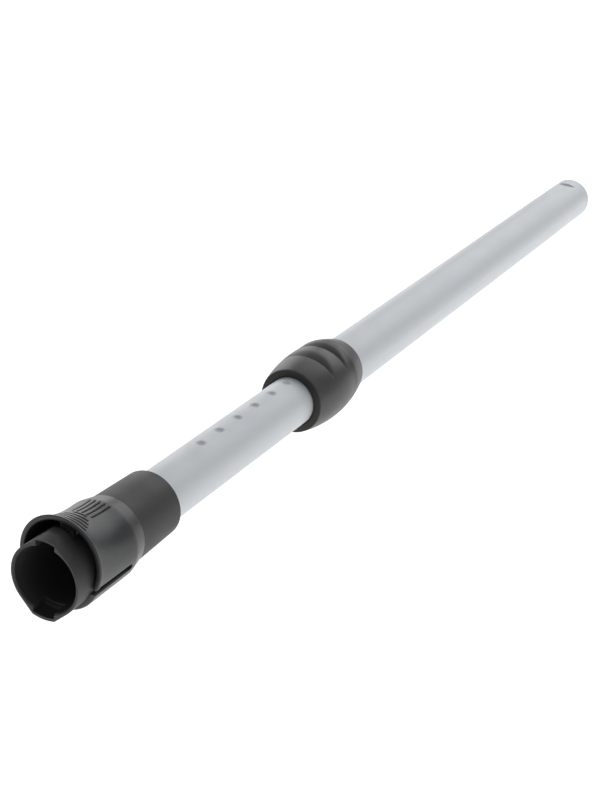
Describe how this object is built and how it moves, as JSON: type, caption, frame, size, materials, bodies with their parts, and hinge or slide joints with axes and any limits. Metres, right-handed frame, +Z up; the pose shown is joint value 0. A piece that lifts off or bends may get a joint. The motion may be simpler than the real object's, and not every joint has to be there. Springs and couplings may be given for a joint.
{
  "type": "telescopic vacuum wand",
  "caption": "Telescopic vacuum-cleaner wand: two silver tubes with a sliding lock sleeve, a keyed handle socket with a thumb release, and a plain spigot for the floor tool.",
  "frame": {"origin": "centre of the handle socket's mouth, on the wand's axis", "axes": "+X along the wand from the handle socket to the floor-tool spigot, +Z up through the thumb tongue, the locking dimples and the spigot's latch pocket"},
  "size_m": [0.7923, 0.05, 0.0544],
  "materials": {
    "tube_paint": "satin silver paint",
    "socket_plastic": "fine spark-eroded texture",
    "sleeve_plastic": "smooth satin",
    "slide_plastic": "matt",
    "ring_plastic": "matt",
    "bearing_plastic": "as moulded",
    "catch_plastic": "as moulded",
    "seal_rubber": "soft, matt",
    "spring_steel": "drawn wire"
  },
  "bodies": {
    "handle_tube": {"inner_tube": "tube_paint", "end_bush": "bearing_plastic", "socket_body": "socket_plastic", "release_sleeve": "sleeve_plastic"},
    "tongue": {"release_tongue": "sleeve_plastic"},
    "tool_tube": {"outer_tube": "tube_paint", "guide_bush": "bearing_plastic", "tube_seal": "seal_rubber", "return_spring": "spring_steel"},
    "slide": {"slide_sleeve": "slide_plastic", "slide_front_ring": "ring_plastic"},
    "catch": {"lock_catch": "catch_plastic"}
  },
  "joints": [
    {"name": "telescope_slide", "type": "slide", "parent": "handle_tube", "child": "tool_tube", "axis": [1, 0, 0], "range_m": [-0.1463, 0.209]},
    {"name": "tongue_press", "type": "hinge", "parent": "handle_tube", "child": "tongue", "pos_m": [0.0465, 0, -0.00506], "axis": [0, -1, 0], "range_deg": [0, 4], "stiffness_Nm_per_rad": 6},
    {"name": "sleeve_slide", "type": "slide", "parent": "tool_tube", "child": "slide", "axis": [1, 0, 0], "range_m": [0, 0.006], "stiffness_N_per_m": 200, "springref_m": 0.018, "deforming": ["return_spring"]},
    {"name": "catch_lift", "type": "slide", "parent": "tool_tube", "child": "catch", "axis": [0, 0, 1], "range_m": [-0.00145, 0]}
  ],
  "couplings": [
    {"joint": "catch_lift", "follows": "sleeve_slide", "ratio": -0.24167}
  ]
}
